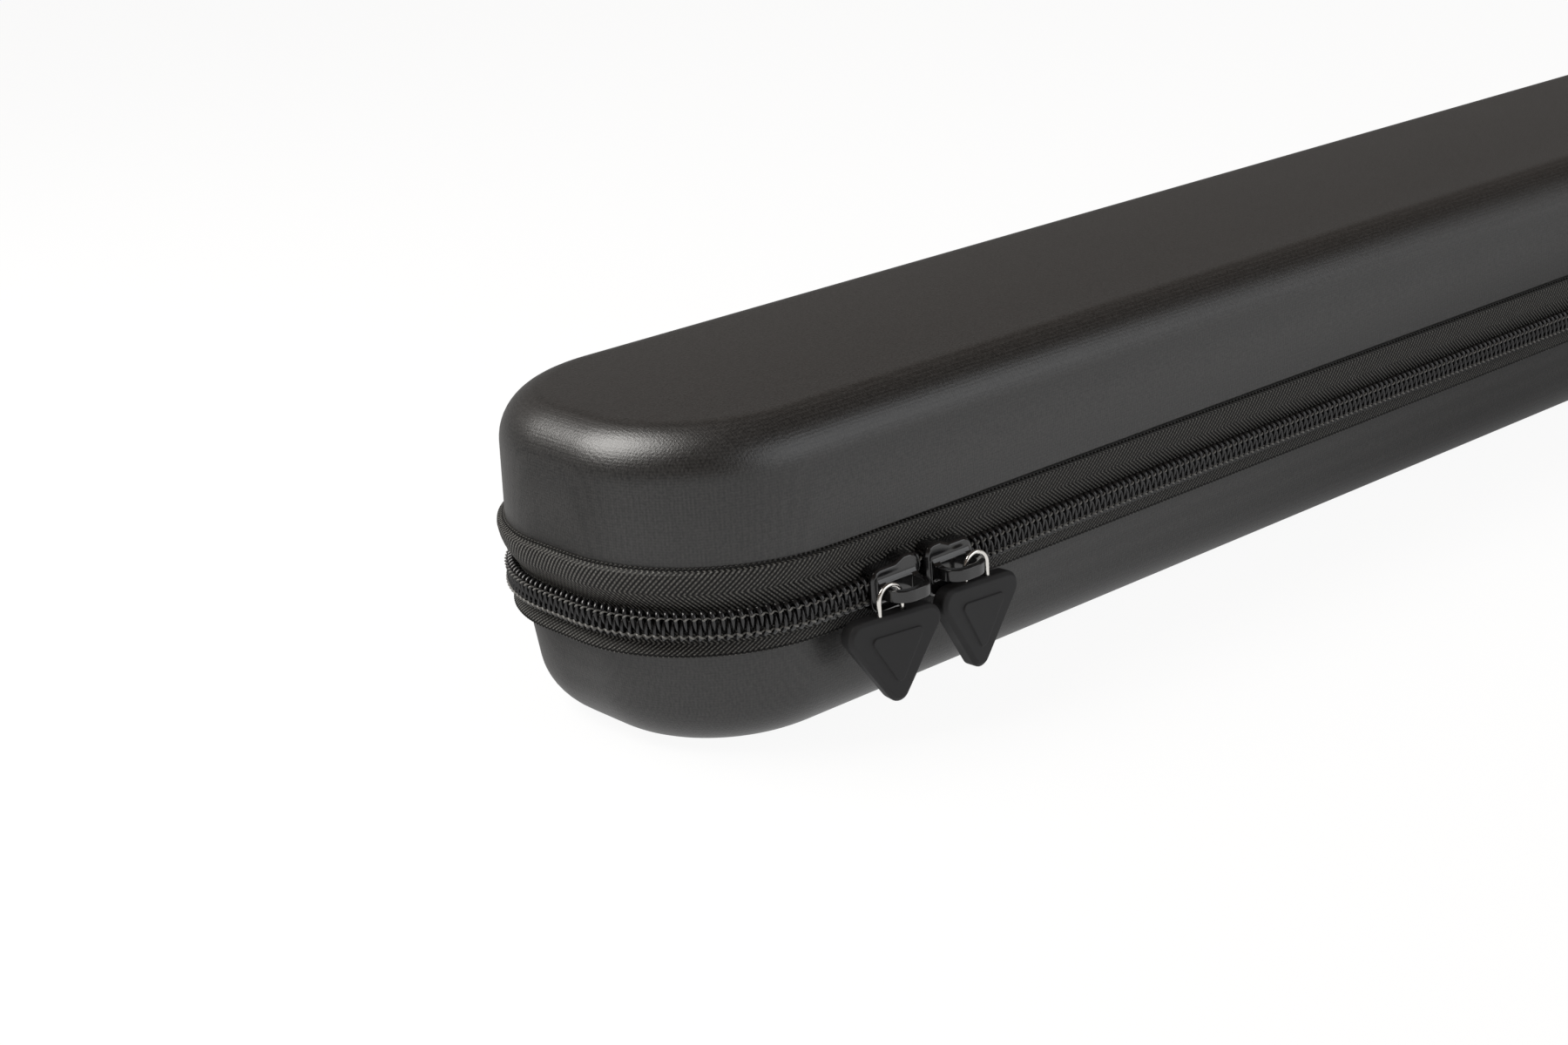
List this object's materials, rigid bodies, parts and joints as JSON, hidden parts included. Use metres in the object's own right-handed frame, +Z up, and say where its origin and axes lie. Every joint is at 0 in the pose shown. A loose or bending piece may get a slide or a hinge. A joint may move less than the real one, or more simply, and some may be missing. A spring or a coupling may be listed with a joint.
{
  "type": "zip-up hard cue case",
  "caption": "Long hard-shell case with rounded ends that zips open on a fabric hinge, with a foam bed for a cue in two halves.",
  "frame": {"origin": "middle of the flat underside of the base shell", "axes": "+X along the case towards the end away from the sliders, +Y towards the fabric hinge, +Z up"},
  "size_m": [0.8454, 0.1067, 0.0746],
  "materials": {
    "moulded_skin": "black laminated cloth skin on moulded foam, very fine weave, soft sheen",
    "lining_cloth": "black brushed lining cloth",
    "foam": "dark grey flocked foam",
    "zip_tape": "black herringbone woven tape",
    "zip_coil": "black nylon coil",
    "hinge_cloth": "black woven webbing",
    "binding_ribbon": "black ribbon",
    "slider_enamel": "gloss black enamel on die-cast zinc",
    "bright_wire": "polished nickel",
    "tag_rubber": "matte black moulded rubber, bare raised panel"
  },
  "bodies": {
    "base": {"base_shell": "moulded_skin", "base_lining": "lining_cloth", "bed_floor_slab": "foam", "bed_front_wall": "foam", "bed_divider": "foam", "bed_back_wall": "foam", "bed_near_block": "foam", "bed_far_block": "foam", "lower_zip_tape": "zip_tape", "lower_coil": "zip_coil", "hinge_strip": "hinge_cloth", "hinge_lining": "lining_cloth", "base_binding": "binding_ribbon", "near_end_stop": "slider_enamel", "far_end_stop": "slider_enamel", "near_end_tab": "hinge_cloth", "far_end_tab": "hinge_cloth"},
    "lid": {"lid_shell": "moulded_skin", "rim_band": "hinge_cloth", "lid_lining": "lining_cloth", "lid_pad": "foam", "upper_zip_tape": "zip_tape", "upper_coil": "zip_coil", "lid_binding": "binding_ribbon"},
    "near_slider": {"near_slider_body": "slider_enamel"},
    "far_slider": {"far_slider_body": "slider_enamel"},
    "near_pull": {"near_pull_wire": "bright_wire", "near_pull_tag": "tag_rubber"},
    "far_pull": {"far_pull_wire": "bright_wire", "far_pull_tag": "tag_rubber"}
  },
  "joints": [
    {"name": "lid_hinge", "type": "hinge", "parent": "base", "child": "lid", "pos_m": [0, 0.0475, 0.0373], "axis": [-1, 0, 0], "range_deg": [0, 175], "deforming": ["hinge_strip", "hinge_lining", "near_end_tab", "far_end_tab"]},
    {"name": "near_slider_run", "type": "slide", "parent": "base", "child": "near_slider", "axis": [-1, 0, 0], "range_m": [0, 0.008], "deforming": ["upper_coil", "lower_coil", "upper_zip_tape", "lower_zip_tape"]},
    {"name": "far_slider_run", "type": "slide", "parent": "base", "child": "far_slider", "axis": [1, 0, 0], "range_m": [0, 0.7]},
    {"name": "near_pull_lift", "type": "hinge", "parent": "near_slider", "child": "near_pull", "pos_m": [-0.3706, -0.0528, 0.03427], "axis": [-1, 0, 0], "range_deg": [0, 35]},
    {"name": "far_pull_lift", "type": "hinge", "parent": "far_slider", "child": "far_pull", "pos_m": [-0.3448, -0.0528, 0.03427], "axis": [-1, 0, 0], "range_deg": [0, 35]}
  ]
}
